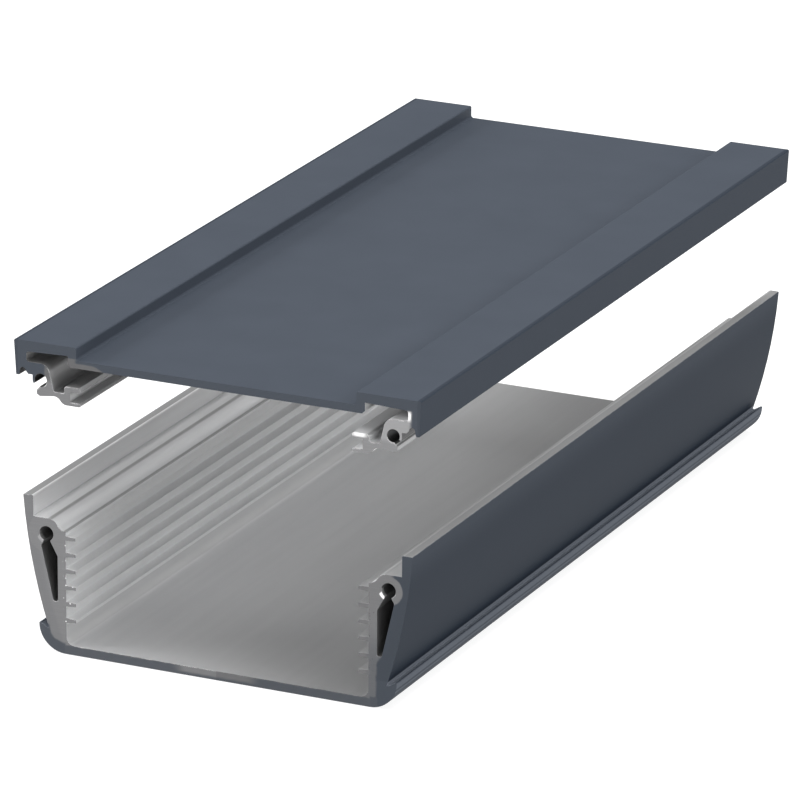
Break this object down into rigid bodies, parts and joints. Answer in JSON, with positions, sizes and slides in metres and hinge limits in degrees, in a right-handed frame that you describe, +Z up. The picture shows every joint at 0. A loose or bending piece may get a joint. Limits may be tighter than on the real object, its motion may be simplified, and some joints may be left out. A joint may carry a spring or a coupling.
{
  "type": "extruded aluminium enclosure",
  "caption": "Open-ended extruded aluminium enclosure: a tray with card guides and screw channels in its side walls, and a lift-off lid with a sunken middle panel.",
  "frame": {"origin": "middle of the underside", "axes": "+Y along the sections, away from the end that faces the viewer; +Z up, towards the lid; +X across"},
  "size_m": [0.1298, 0.273, 0.0947],
  "materials": {
    "coated_aluminium": "dark blue-grey satin coating on the outer faces, bare mill aluminium inside"
  },
  "bodies": {
    "base": {"base": "coated_aluminium"},
    "lid": {"lid": "coated_aluminium"}
  },
  "joints": [
    {"name": "lid_lift", "type": "slide", "parent": "base", "child": "lid", "axis": [0, 0, 1], "range_m": [-0.0368, 0]}
  ]
}
